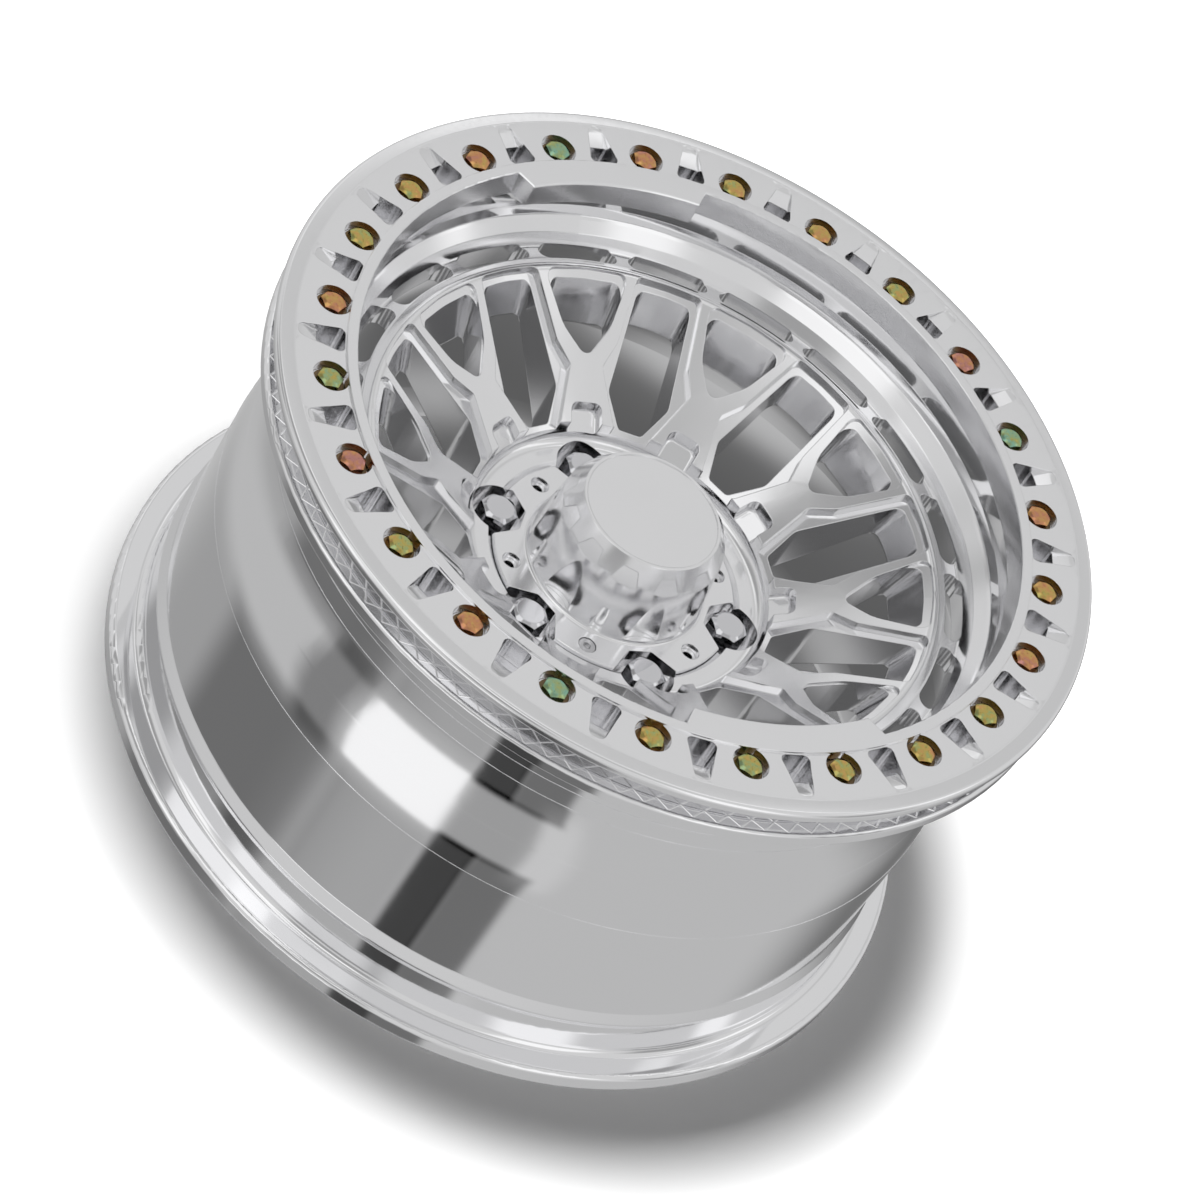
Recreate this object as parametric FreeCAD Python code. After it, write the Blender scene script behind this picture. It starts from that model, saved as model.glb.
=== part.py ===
import FreeCAD, Part
import math
import os

# Forged alloy wheel with a bolted bead ring, hub cap, lug nuts and fasteners.
# Millimetres. The wheel lies on its rear flange, its axis is Z and its face looks up.

# Rim barrel, from the rear flange to the front shoulder that carries the ring
RIM_LENGTH = 241.1
REAR_FLANGE_R = 235.8
REAR_FLANGE_THICKNESS = 10.0
REAR_FLANGE_CURVE = 3.2
REAR_SEAT_R = 219.2
REAR_SEAT_TAPER = 1.4
REAR_SEAT_WIDTH = 22.5
REAR_SEAT_CURVE = 4.5
HUMP_RISE = 1.6
HUMP_WIDTH = 7.5
HUMP_FOOT = 4.0
HUMP_CURVE = 2.0
WELL_R = 216.5
WELL_FLARE_LENGTH = 67.5
DROP_R = 209.4
DROP_LENGTH = 54.0
DROP_CURVE = 9.0
FLARE_CURVE = 160.0
BARREL_WALL = 6.4
REAR_LIP_WIDTH = 6.3
REAR_LIP_RISE = 6.0
REAR_LIP_CURVE = 9.0
INSIDE_CURVE = 20.0

# Front shoulder and the knurled flange that the tyre bead is clamped against
SHOULDER_R = 218.3
SHOULDER_RISE = 8.0
FRONT_FLANGE_R = 233.4
FRONT_FLANGE_EDGE = 7.3
FRONT_FLANGE_SLOPE = 11.8
FRONT_FLANGE_CURVE = 2.2
LIP_BORE_R = 191.5
LIP_BORE_FLARE = 1.5
LIP_BORE_DEPTH = 16.5
LIP_STEP_R = 185.0
LIP_STEP_DEPTH = 30.5
LIP_STEP_HEIGHT = 7.0
LIP_STEP_FLARE = 1.0
LIP_CURVE = 1.5
VALLEY_OUTER_R = 181.0
VALLEY_OUTER_DEPTH = 38.6
VALLEY_INNER_R = 170.0
VALLEY_INNER_DEPTH = 35.7
VALLEY_CURVE = 3.0

# Dished spoke face
CREST_R = 163.5
CREST_DEPTH = 32.3
CREST_CURVE = 6.0
FACE_ANGLE = 30.4
RIDGE_R = 88.5
SPOKES = 10
SPOKE_BACK_R = 166.0
SPOKE_BACK_DEPTH = 51.0
SPOKE_BACK_CURVE = 10.0
SPOKE_THICKNESS = 30.5
SPOKE_KNEE_R = 118.0
WEB_BACK_R = 184.0
WEB_BACK_CURVE = 12.0

# Hub
PAD_HEIGHT = 115.0
PAD_R = 88.0
PAD_RISE = 3.0
PAD_EDGE = 1.0
HUB_THICKNESS = 35.2
HUB_BORE_R = 53.1
HUB_BORE_CHAMFER = 1.5
BOWL_CURVE = 12.4
CAP_RECESS_EDGE = 2.7

# Lug seats
LUGS = 6
LUG_CIRCLE_R = 69.85
LUG_HOLE_R = 7.5
LUG_SEAT_R = 12.0
LUG_SEAT_HALF_ANGLE = 30.0
LUG_SEAT_HEIGHT = 13.0
LUG_POCKET_R = 16.0

# Window between two spokes, as half outline: along the spoke, across, corner radius
WINDOW_STEP_DEPTH = 6.2
WINDOW_STEP = [
    (87.6, 11.4, 3.0),
    (112.9, 26.5, 2.5),
    (126.5, 21.5, 4.0),
    (162.2, 19.6, 4.5),
]
WINDOW_STEP_END = 163.5
WINDOW_HOLE = [
    (91.4, 6.8, 3.0),
    (107.4, 18.0, 6.0),
    (161.9, 16.2, 5.0),
]
WINDOW_HOLE_END = 163.3
FORK_STEP_DEPTH = 2.5
FORK_STEP = [
    (134.0, 14.6, 24.0),
    (160.6, 26.6, 5.0),
]
FORK_NOSE = (119.0, 0, 6.0)
FORK_STEP_END = 163.2
FORK_HOLE = [
    (134.2, 14.0, 24.0),
    (158.8, 25.1, 6.0),
]
FORK_HOLE_NOSE = (120.0, 0, 5.4)
FORK_HOLE_END = 160.6
END_CURVE = 90.0
END_WALL_SLOPE = 0.30

# Rim slots, two to each spoke
SLOTS = 20
SLOT_INNER_R = 171.0
SLOT_OUTER_R = 181.8
SLOT_HALF_ANGLE = 7.8

# Pockets that run from the spoke roots into the hub bowl
ROOT_POCKET = [
    (74.0, 9.7, 0.0),
    (97.8, 9.4, 4.5),
]
ROOT_POCKET_END = 98.3
ROOT_POCKET_DEPTH = 7.0
ROOT_POCKET_ANGLE = 36.0
ROOT_POCKET_FILLET = 2.2

# Bead ring
RING_THICKNESS = 13.5
RING_OUTER_R = 235.2
RING_LIP_THICKNESS = 7.0
RING_BODY_R = 219.5
RING_BEVEL_R = 226.0
RING_BEVEL_DROP = 1.3
RING_BEVEL_CURVE = 1.5
RING_EDGE_CURVE = 4.0
RING_LIP_CURVE = 2.5
RING_LIP_EDGE = 1.4
RING_BODY_TAPER = 1.0
LAND_OUTER_R = 197.5
LAND_INNER_R = 191.3
LAND_RISE = 1.5
LAND_BORE_TAPER = 1.8
LAND_EDGE = 0.9
TABS = 2
TAB_INNER_R = 180.0
TAB_ROOT_HALF_ANGLE = 18.0
TAB_TIP_HALF_ANGLE = 16.4
RING_WINDOW_INNER_R = 198.0
RING_WINDOW_INNER_HALF = 8.9
RING_WINDOW_OUTER_R = 223.6
RING_WINDOW_OUTER_HALF = 3.8
RING_WINDOW_CORNER = 3.4
RING_RAMP_R = 212.4
RING_RAMP_DEPTH = 4.2
RIM_POCKET_DEPTH = 12.0

# Ring bolts and washers
BOLTS = 24
BOLT_CIRCLE_R = 206.5
BOLT_FIRST_ANGLE = 7.5
BOLT_SHANK_R = 3.95
BOLT_LENGTH = 25.4
BOLT_HEAD_FLATS = 12.7
BOLT_HEAD_HEIGHT = 5.3
BOLT_HEAD_CHAMFER = 1.5
WASHER_R = 8.75
WASHER_THICKNESS = 1.6
COUNTERBORE_R = 10.0
BOLT_HOLE_SPARE = 2.4

# Hub cap
CAP_FLANGE_R = 71.0
CAP_FLANGE_THICKNESS = 8.0
CAP_HEIGHT = 50.0
CAP_TOP_R = 39.7
CAP_TOP_LIP = 1.7
CAP_TOP_SINK = 0.6
CAP_BAND_R = 47.1
CAP_BAND_HEIGHT = 11.0
CAP_BAND_CURVE = 1.5
CAP_FOOT_R = 51.4
CAP_FOOT_FILLET = 2.4
CAP_WALL = 5.6
CAP_HOLLOW_R = 44.0
CAP_HOLLOW_CURVE = 3.0
CAP_FLUTE_R = 22.0
CAP_FLUTE_LIFT = 2.2
CAP_NOTCH_INNER_R = 56.0
CAP_NOTCH_INNER_HALF = 7.0
CAP_NOTCH_OUTER_HALF = 23.4
CAP_NOTCH_CORNER = 3.0
FACETS = 12
FACET_DEPTH = 1.2
FACET_TOP_DROP = 5.7
FACET_HALF_TOP = 4.4
FACET_HALF_FOOT = 9.4
FACET_LENGTH = 12.0

# Cap screws
CAP_SCREW_CIRCLE_R = 62.3
CAP_SCREW_HOLES = 6
CAP_SCREW_FIRST_ANGLE = 30.0
CAP_SCREW_SEATS = [2, 5]
CAP_SCREW_R = 2.9
CAP_SCREW_HEAD_R = 4.9
CAP_SCREW_HEAD_HEIGHT = 3.8
CAP_SCREW_LENGTH = 16.0
CAP_SCREW_KEY_FLATS = 4.0
CAP_SCREW_KEY_DEPTH = 2.2
CAP_SCREW_SINK = 4.4
CAP_SCREW_POCKET_R = 5.2
CAP_GROOVE_R = 4.4
CAP_GROOVE_CIRCLE_R = 53.4
CAP_GROOVE_LIFT = 1.3
CAP_GROOVE_HEIGHT = 17.8

# Lug nuts
NUT_FLATS = 19.0
NUT_HEIGHT = 23.6
NUT_BORE_R = 7.05
NUT_BORE_DEPTH = 24.0
NUT_CHAMFER = 1.6

# Clearances between the pieces
THREAD_CLEARANCE = 0.10
BOLT_CLEARANCE = 0.35
WASHER_CLEARANCE = 0.30
CAP_RECESS_CLEARANCE = 0.25
LUG_SEAT_CLEARANCE = 0.15
CAP_SCREW_CLEARANCE = 0.30

# Edge breaks
CROWN_ANGLE = 30.0
EDGE_BREAK = 0.8
OVERCUT = 2.0
TOOL_REACH = 12.0
TOUCH = 0.001

# Levels that follow from the sizes above
SHOULDER_Z = RIM_LENGTH
FLANGE_FACE_Z = SHOULDER_Z - SHOULDER_RISE
CREST_Z = SHOULDER_Z - CREST_DEPTH
RING_FACE_Z = SHOULDER_Z + RING_THICKNESS
HUB_FACE_Z = PAD_HEIGHT + HUB_THICKNESS
CAP_SEAT_Z = HUB_FACE_Z - CAP_FLANGE_THICKNESS
CAP_TOP_Z = HUB_FACE_Z + CAP_HEIGHT
LUG_SEAT_Z = PAD_HEIGHT + LUG_SEAT_HEIGHT
BOLT_HEAD_Z = RING_FACE_Z - BOLT_HEAD_HEIGHT
WASHER_Z = BOLT_HEAD_Z - WASHER_THICKNESS
BOLT_END_Z = WASHER_Z - BOLT_LENGTH + WASHER_THICKNESS

UP = FreeCAD.Vector(0, 0, 1)
ORIGIN = FreeCAD.Vector(0, 0, 0)


def plan(u, v):
    """A point of an outline seen along the axis."""
    return FreeCAD.Vector(u, v, 0)


def section(u, v):
    """A point of an outline in the half plane through the axis."""
    return FreeCAD.Vector(u, 0, v)


def rounded_face(corners, place):
    """A flat face from corners (u, v, radius); each radius is limited by its two sides."""
    points = [FreeCAD.Vector(u, v, 0) for u, v, radius in corners]
    joints = []
    for i, (u, v, radius) in enumerate(corners):
        here = points[i]
        back = points[i - 1] - here
        ahead = points[(i + 1) % len(points)] - here
        half = back.getAngle(ahead) / 2
        reach = min(radius / math.tan(half), 0.48 * back.Length, 0.48 * ahead.Length)
        if radius == 0 or reach < 0.01:
            joints.append((here, here, here))
            continue
        middle = FreeCAD.Vector(back).normalize() + FreeCAD.Vector(ahead).normalize()
        depth = reach * (1 - math.sin(half)) / math.cos(half)
        start = here + FreeCAD.Vector(back).normalize() * reach
        end = here + FreeCAD.Vector(ahead).normalize() * reach
        joints.append((start, here + middle.normalize() * depth, end))
    edges = []
    for i, (start, middle, end) in enumerate(joints):
        first, second, third = (place(p.x, p.y) for p in (start, middle, end))
        if start.distanceToPoint(end) > TOUCH:
            edges.append(Part.Arc(first, second, third).toShape())
        following = joints[(i + 1) % len(joints)][0]
        if end.distanceToPoint(following) > TOUCH:
            edges.append(Part.makeLine(third, place(following.x, following.y)))
    return Part.Face(Part.Wire(edges))


def turned(corners):
    """A solid of revolution from an outline of radius, height and corner radius."""
    return rounded_face(corners, section).revolve(ORIGIN, UP, 360)


def prism(corners, bottom, top):
    """An upright block over a plan outline."""
    face = rounded_face(corners, plan)
    face.translate(UP * bottom)
    return face.extrude(UP * (top - bottom))


def mirrored(half):
    """A closed outline from the half that lies on one side of its centre line."""
    return half + [(u, -v, radius) for u, v, radius in reversed(half) if v != 0]


def spun(shape, angle):
    """A copy turned about the wheel's axis."""
    copy = shape.copy()
    copy.rotate(ORIGIN, UP, angle)
    return copy


def ring_of(shape, count, first=0.0):
    """Copies of a shape, evenly spaced round the axis."""
    return [spun(shape, first + 360 / count * i) for i in range(count)]


def drill(radius, bottom, top, circle_r=0.0):
    """A round tool whose axis stands on the zero degree line."""
    return Part.makeCylinder(radius, top - bottom, FreeCAD.Vector(circle_r, 0, bottom), UP)


def hexagon(flats, bottom, top):
    """A six sided prism on the axis."""
    corner_r = flats / math.sqrt(3)
    corners = [
        (corner_r * math.cos(math.radians(60 * i)), corner_r * math.sin(math.radians(60 * i)), 0)
        for i in range(6)
    ]
    return prism(corners, bottom, top)


def crowned_hexagon(flats, bottom, top, chamfer):
    """A hexagon whose top corners are turned off to a circle."""
    corner_r = flats / math.sqrt(3)
    crown_r = flats / 2 - chamfer
    crown_z = top - (corner_r - crown_r) * math.tan(math.radians(CROWN_ANGLE))
    crown = turned([
        (0, bottom, 0),
        (corner_r, bottom, 0),
        (corner_r, crown_z, 0),
        (crown_r, top, 0),
        (0, top, 0),
    ])
    return hexagon(flats, bottom, top).common(crown)


def face_height(radius):
    """Height of the dished spoke face."""
    return CREST_Z - (CREST_R - radius) * math.tan(math.radians(FACE_ANGLE))


def back_height(radius):
    """Height of the sloped back of the spokes."""
    return face_height(radius) - SPOKE_THICKNESS / math.cos(math.radians(FACE_ANGLE))


def wheel_blank():
    """The forging as turned: hub, dish, rim lip, barrel and both flanges."""
    bore_low_z = SHOULDER_Z - LIP_BORE_DEPTH
    bore_low_r = LIP_BORE_R + LIP_BORE_FLARE
    flange_back_z = FLANGE_FACE_Z - FRONT_FLANGE_EDGE
    seat_front_z = REAR_FLANGE_THICKNESS + REAR_SEAT_WIDTH
    seat_front_r = REAR_SEAT_R - REAR_SEAT_TAPER
    hump_z = seat_front_z + HUMP_WIDTH / 2
    hump_foot_z = seat_front_z + HUMP_WIDTH + HUMP_FOOT
    drop_z = flange_back_z - DROP_LENGTH + FRONT_FLANGE_SLOPE
    flare_top_z = drop_z - WELL_FLARE_LENGTH / 4
    flare_low_z = drop_z - WELL_FLARE_LENGTH * 3 / 4
    rear_inner_r = REAR_FLANGE_R - REAR_LIP_WIDTH
    recess_r = CAP_FLANGE_R + CAP_RECESS_CLEARANCE
    return turned([
        (HUB_BORE_R, CAP_SEAT_Z, 0),
        (recess_r, CAP_SEAT_Z, 0),
        (recess_r, HUB_FACE_Z - CAP_RECESS_EDGE, 0),
        (recess_r + CAP_RECESS_EDGE, HUB_FACE_Z, 0),
        (RIDGE_R, HUB_FACE_Z, BOWL_CURVE),
        (RIDGE_R, face_height(RIDGE_R), EDGE_BREAK / 2),
        (CREST_R, CREST_Z, CREST_CURVE),
        (VALLEY_INNER_R, SHOULDER_Z - VALLEY_INNER_DEPTH, VALLEY_CURVE),
        (VALLEY_OUTER_R, SHOULDER_Z - VALLEY_OUTER_DEPTH, LIP_CURVE),
        (LIP_STEP_R, SHOULDER_Z - LIP_STEP_DEPTH, LIP_CURVE),
        (bore_low_r - LIP_STEP_FLARE, SHOULDER_Z - LIP_STEP_DEPTH + LIP_STEP_HEIGHT, LIP_CURVE),
        (bore_low_r, bore_low_z, LIP_CURVE),
        (LIP_BORE_R, SHOULDER_Z, 0),
        (SHOULDER_R, SHOULDER_Z, EDGE_BREAK),
        (SHOULDER_R, FLANGE_FACE_Z, EDGE_BREAK),
        (FRONT_FLANGE_R, FLANGE_FACE_Z, FRONT_FLANGE_CURVE),
        (FRONT_FLANGE_R, flange_back_z, EDGE_BREAK),
        (DROP_R, flange_back_z - FRONT_FLANGE_SLOPE, DROP_CURVE),
        (DROP_R, flare_top_z, FLARE_CURVE),
        (WELL_R, flare_low_z, FLARE_CURVE),
        (WELL_R, hump_foot_z, HUMP_CURVE),
        (seat_front_r + HUMP_RISE, hump_z, HUMP_CURVE),
        (seat_front_r, seat_front_z, HUMP_CURVE),
        (REAR_SEAT_R, REAR_FLANGE_THICKNESS, REAR_SEAT_CURVE),
        (REAR_FLANGE_R, REAR_FLANGE_THICKNESS, REAR_FLANGE_CURVE),
        (REAR_FLANGE_R, 0, EDGE_BREAK),
        (rear_inner_r, 0, EDGE_BREAK * 2),
        (seat_front_r - BARREL_WALL, REAR_FLANGE_THICKNESS + REAR_LIP_RISE, REAR_LIP_CURVE),
        (WELL_R - BARREL_WALL, hump_foot_z, INSIDE_CURVE),
        (WELL_R - BARREL_WALL, flare_low_z, FLARE_CURVE),
        (DROP_R - BARREL_WALL, flare_top_z, FLARE_CURVE),
        (DROP_R - BARREL_WALL, SHOULDER_Z - VALLEY_OUTER_DEPTH, WEB_BACK_CURVE),
        (WEB_BACK_R, SHOULDER_Z - SPOKE_BACK_DEPTH, WEB_BACK_CURVE),
        (SPOKE_BACK_R, SHOULDER_Z - SPOKE_BACK_DEPTH, SPOKE_BACK_CURVE),
        (SPOKE_KNEE_R, back_height(SPOKE_KNEE_R), SPOKE_BACK_CURVE),
        (PAD_R, PAD_HEIGHT + PAD_RISE, PAD_RISE),
        (PAD_R, PAD_HEIGHT, PAD_EDGE),
        (HUB_BORE_R + HUB_BORE_CHAMFER, PAD_HEIGHT, 0),
        (HUB_BORE_R, PAD_HEIGHT + HUB_BORE_CHAMFER, 0),
    ])


def above_face(drop):
    """Everything over the spoke face lowered by a given depth."""
    inner_r = RIDGE_R - TOOL_REACH
    outer_r = CREST_R + OVERCUT
    return turned([
        (inner_r, face_height(inner_r) - drop, 0),
        (CREST_R, CREST_Z - drop, 0),
        (outer_r, CREST_Z - drop, 0),
        (outer_r, CREST_Z + TOOL_REACH, 0),
        (inner_r, CREST_Z + TOOL_REACH, 0),
    ])


def tapered_hole(half, end_r, bottom):
    """A through window whose outer wall leans in towards the back."""
    faces = []
    for height in (CREST_Z + OVERCUT, bottom):
        shift = (height - CREST_Z) * END_WALL_SLOPE
        inner = half[:-1]
        u, v, radius = half[-1]
        outline = mirrored(inner + [(u + shift, v, radius), (end_r + shift, 0, END_CURVE)])
        face = rounded_face(outline, plan)
        face.translate(UP * height)
        faces.append(face.OuterWire)
    return Part.makeLoft(faces, True, True)


def window_cuts():
    """Stepped border and through hole of the windows between spokes."""
    step = prism(mirrored(WINDOW_STEP + [(WINDOW_STEP_END, 0, END_CURVE)]), PAD_HEIGHT, SHOULDER_Z)
    hole = tapered_hole(WINDOW_HOLE, WINDOW_HOLE_END, PAD_HEIGHT - OVERCUT)
    return [step.common(above_face(WINDOW_STEP_DEPTH)), hole]


def fork_cuts():
    """Stepped border and through hole inside each forked spoke."""
    outline = mirrored([FORK_NOSE] + FORK_STEP + [(FORK_STEP_END, 0, END_CURVE)])
    step = prism(outline, PAD_HEIGHT, SHOULDER_Z)
    bottom = back_height(FORK_HOLE_NOSE[0]) - OVERCUT
    hole = tapered_hole([FORK_HOLE_NOSE] + FORK_HOLE, FORK_HOLE_END, bottom)
    return [step.common(above_face(FORK_STEP_DEPTH)), hole]


def root_pocket_cut():
    """Sloped pocket with a filleted floor at the root of each spoke."""
    floor_z = face_height(ROOT_POCKET_END) - ROOT_POCKET_DEPTH
    fall = math.tan(math.radians(ROOT_POCKET_ANGLE))
    inner_u = ROOT_POCKET[0][0]
    outer_u = ROOT_POCKET_END + OVERCUT

    def floor_height(u):
        return floor_z - (ROOT_POCKET_END - u) * fall

    wedge = rounded_face([
        (inner_u - OVERCUT, floor_height(inner_u - OVERCUT), 0),
        (outer_u, floor_height(outer_u), 0),
        (outer_u, CREST_Z, 0),
        (inner_u - OVERCUT, CREST_Z, 0),
    ], section)
    wedge.translate(FreeCAD.Vector(0, -RIDGE_R / 2, 0))
    slab = wedge.extrude(FreeCAD.Vector(0, RIDGE_R, 0))
    outline = mirrored(ROOT_POCKET + [(ROOT_POCKET_END, 0, END_CURVE)])
    pocket = prism(outline, PAD_HEIGHT, CREST_Z).common(slab)
    floor_edges = [
        edge for edge in pocket.Edges
        if all(abs(end.Z - floor_height(end.X)) < TOUCH for end in edge.Vertexes)
        and edge.BoundBox.XMax > inner_u + OVERCUT
    ]
    pocket = pocket.makeFillet(ROOT_POCKET_FILLET, floor_edges)
    return pocket.common(drill(CREST_R, HUB_FACE_Z, CREST_Z))


def slot_cut():
    """One kidney slot through the rim valley."""
    half_width = (SLOT_OUTER_R - SLOT_INNER_R) / 2
    middle_r = SLOT_INNER_R + half_width
    end = math.radians(SLOT_HALF_ANGLE) - half_width / middle_r

    def polar(radius, angle):
        return plan(radius * math.cos(angle), radius * math.sin(angle))

    def cap_end(angle, side):
        tip = polar(middle_r, angle) + polar(half_width, angle + side * math.pi / 2)
        return tip

    outer = Part.Arc(polar(SLOT_OUTER_R, -end), polar(SLOT_OUTER_R, 0), polar(SLOT_OUTER_R, end))
    inner = Part.Arc(polar(SLOT_INNER_R, end), polar(SLOT_INNER_R, 0), polar(SLOT_INNER_R, -end))
    left = Part.Arc(polar(SLOT_OUTER_R, end), cap_end(end, 1), polar(SLOT_INNER_R, end))
    right = Part.Arc(polar(SLOT_INNER_R, -end), cap_end(-end, -1), polar(SLOT_OUTER_R, -end))
    wire = Part.Wire([arc.toShape() for arc in (outer, left, inner, right)])
    face = Part.Face(wire)
    bottom = SHOULDER_Z - SPOKE_BACK_DEPTH - TOOL_REACH
    face.translate(UP * bottom)
    return face.extrude(UP * (SHOULDER_Z - bottom))


def lug_cut():
    """Lug hole, conical seat and nut pocket."""
    cone_height = (LUG_SEAT_R - LUG_HOLE_R) / math.tan(math.radians(LUG_SEAT_HALF_ANGLE))
    tool = turned([
        (0, PAD_HEIGHT - OVERCUT, 0),
        (LUG_HOLE_R, PAD_HEIGHT - OVERCUT, 0),
        (LUG_HOLE_R, LUG_SEAT_Z - cone_height, 0),
        (LUG_SEAT_R, LUG_SEAT_Z, 0),
        (LUG_POCKET_R, LUG_SEAT_Z, 0),
        (LUG_POCKET_R, CREST_Z, 0),
        (0, CREST_Z, 0),
    ])
    tool.translate(FreeCAD.Vector(LUG_CIRCLE_R, 0, 0))
    return tool


def ring_window_outline(outer_u, outer_half, corner):
    """Plan of a ring window, cut off at a given radius."""
    return mirrored([
        (RING_WINDOW_INNER_R, RING_WINDOW_INNER_HALF, RING_WINDOW_CORNER),
        (outer_u, outer_half, corner),
    ])


def ring_window_half(radius):
    """Half width of a ring window at a radius."""
    share = (radius - RING_WINDOW_INNER_R) / (RING_WINDOW_OUTER_R - RING_WINDOW_INNER_R)
    return RING_WINDOW_INNER_HALF + share * (RING_WINDOW_OUTER_HALF - RING_WINDOW_INNER_HALF)


def ring_window_shaft(bottom, top):
    """The part of a ring window with upright walls."""
    outline = ring_window_outline(RING_RAMP_R, ring_window_half(RING_RAMP_R), EDGE_BREAK * 2)
    return prism(outline, bottom, top)


def make_wheel():
    """The one piece forging with all its pockets, slots and holes."""
    wheel = wheel_blank()
    for tool in window_cuts():
        wheel = wheel.cut(ring_of(tool, SPOKES, 180 / SPOKES))
    for tool in fork_cuts() + [root_pocket_cut()]:
        wheel = wheel.cut(ring_of(tool, SPOKES))
    wheel = wheel.cut(ring_of(slot_cut(), SLOTS))
    wheel = wheel.cut(ring_of(lug_cut(), LUGS))
    bolt_bottom = BOLT_END_Z - BOLT_HOLE_SPARE
    bolt_bore_r = BOLT_SHANK_R + THREAD_CLEARANCE
    bolt_bore = drill(bolt_bore_r, bolt_bottom, SHOULDER_Z + OVERCUT, BOLT_CIRCLE_R)
    pocket = ring_window_shaft(SHOULDER_Z - RIM_POCKET_DEPTH, SHOULDER_Z + OVERCUT)
    wheel = wheel.cut(ring_of(bolt_bore, BOLTS, BOLT_FIRST_ANGLE))
    wheel = wheel.cut(ring_of(pocket, BOLTS, BOLT_FIRST_ANGLE + 180 / BOLTS))
    screw_bottom = HUB_FACE_Z - CAP_SCREW_SINK - CAP_SCREW_LENGTH - OVERCUT
    screw_bore_r = CAP_SCREW_R + THREAD_CLEARANCE
    screw_bore = drill(screw_bore_r, screw_bottom, CAP_SEAT_Z + OVERCUT, CAP_SCREW_CIRCLE_R)
    return wheel.cut(ring_of(screw_bore, CAP_SCREW_HOLES, CAP_SCREW_FIRST_ANGLE))


def ring_tab():
    """One inward tab of the bead ring, as a plan outline pulled up."""
    def polar(radius, degrees):
        angle = math.radians(degrees)
        return plan(radius * math.cos(angle), radius * math.sin(angle))

    root_r = LAND_OUTER_R - OVERCUT
    tip = TAB_TIP_HALF_ANGLE
    root = TAB_ROOT_HALF_ANGLE
    tip_arc = Part.Arc(polar(TAB_INNER_R, -tip), polar(TAB_INNER_R, 0), polar(TAB_INNER_R, tip))
    root_arc = Part.Arc(polar(root_r, root), polar(root_r, 0), polar(root_r, -root))
    sides = [
        Part.makeLine(polar(TAB_INNER_R, tip), polar(root_r, root)),
        Part.makeLine(polar(root_r, -root), polar(TAB_INNER_R, -tip)),
    ]
    wire = Part.Wire([tip_arc.toShape(), sides[0], root_arc.toShape(), sides[1]])
    face = Part.Face(wire)
    face.translate(UP * SHOULDER_Z)
    tab = face.extrude(UP * (RING_THICKNESS + LAND_RISE))
    top_z = RING_FACE_Z + LAND_RISE
    edges = [
        edge for edge in tab.Edges
        if edge.BoundBox.ZMin > top_z - TOUCH and edge.BoundBox.XMin < LAND_INNER_R
        and edge.BoundBox.XMax < root_r - TOUCH
    ]
    return tab.makeChamfer(EDGE_BREAK, edges)


def ring_window_ramp():
    """The sloped outer end of a ring window."""
    ramp = rounded_face([
        (RING_WINDOW_INNER_R, RING_FACE_Z - RING_RAMP_DEPTH, 0),
        (RING_RAMP_R, RING_FACE_Z - RING_RAMP_DEPTH, 0),
        (RING_WINDOW_OUTER_R, RING_FACE_Z, 0),
        (RING_WINDOW_OUTER_R, RING_FACE_Z + OVERCUT, 0),
        (RING_WINDOW_INNER_R, RING_FACE_Z + OVERCUT, 0),
    ], section)
    ramp.translate(FreeCAD.Vector(0, -RING_WINDOW_INNER_R / 4, 0))
    slab = ramp.extrude(FreeCAD.Vector(0, RING_WINDOW_INNER_R / 2, 0))
    outline = ring_window_outline(RING_WINDOW_OUTER_R, RING_WINDOW_OUTER_HALF, RING_WINDOW_CORNER)
    return prism(outline, SHOULDER_Z, RING_FACE_Z + OVERCUT).common(slab)


def make_bead_ring():
    """Ring that clamps the tyre bead, with counterbores, windows and two tabs."""
    lip_z = RING_FACE_Z - RING_LIP_THICKNESS
    body = turned([
        (LAND_OUTER_R - EDGE_BREAK, SHOULDER_Z, 0),
        (LAND_OUTER_R - EDGE_BREAK, RING_FACE_Z, 0),
        (RING_BEVEL_R, RING_FACE_Z, RING_BEVEL_CURVE),
        (RING_OUTER_R, RING_FACE_Z - RING_BEVEL_DROP, RING_EDGE_CURVE),
        (RING_OUTER_R, lip_z, RING_LIP_EDGE),
        (RING_BODY_R + RING_BODY_TAPER, lip_z, RING_LIP_CURVE),
        (RING_BODY_R, SHOULDER_Z, EDGE_BREAK / 2),
    ])
    cuts = []
    seat = drill(COUNTERBORE_R, WASHER_Z, RING_FACE_Z + OVERCUT, BOLT_CIRCLE_R)
    bore = drill(BOLT_SHANK_R + BOLT_CLEARANCE, SHOULDER_Z - OVERCUT, RING_FACE_Z, BOLT_CIRCLE_R)
    for tool in (seat, bore):
        cuts += ring_of(tool, BOLTS, BOLT_FIRST_ANGLE)
    for tool in (ring_window_shaft(SHOULDER_Z - OVERCUT, RING_FACE_Z + OVERCUT), ring_window_ramp()):
        cuts += ring_of(tool, BOLTS, BOLT_FIRST_ANGLE + 180 / BOLTS)
    land_top = RING_FACE_Z + LAND_RISE
    land = turned([
        (LAND_INNER_R - LAND_BORE_TAPER, SHOULDER_Z, 0),
        (LAND_INNER_R, land_top, LAND_EDGE),
        (LAND_OUTER_R, land_top, EDGE_BREAK / 2),
        (LAND_OUTER_R, SHOULDER_Z, 0),
    ])
    return body.cut(cuts).fuse([land] + ring_of(ring_tab(), TABS)).removeSplitter()


def make_bolt():
    """Hex head bolt with its shank, standing on the axis."""
    head = crowned_hexagon(BOLT_HEAD_FLATS, BOLT_HEAD_Z, RING_FACE_Z, BOLT_HEAD_CHAMFER)
    shank = drill(BOLT_SHANK_R, BOLT_END_Z, BOLT_HEAD_Z + OVERCUT)
    return head.fuse(shank).removeSplitter()


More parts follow.
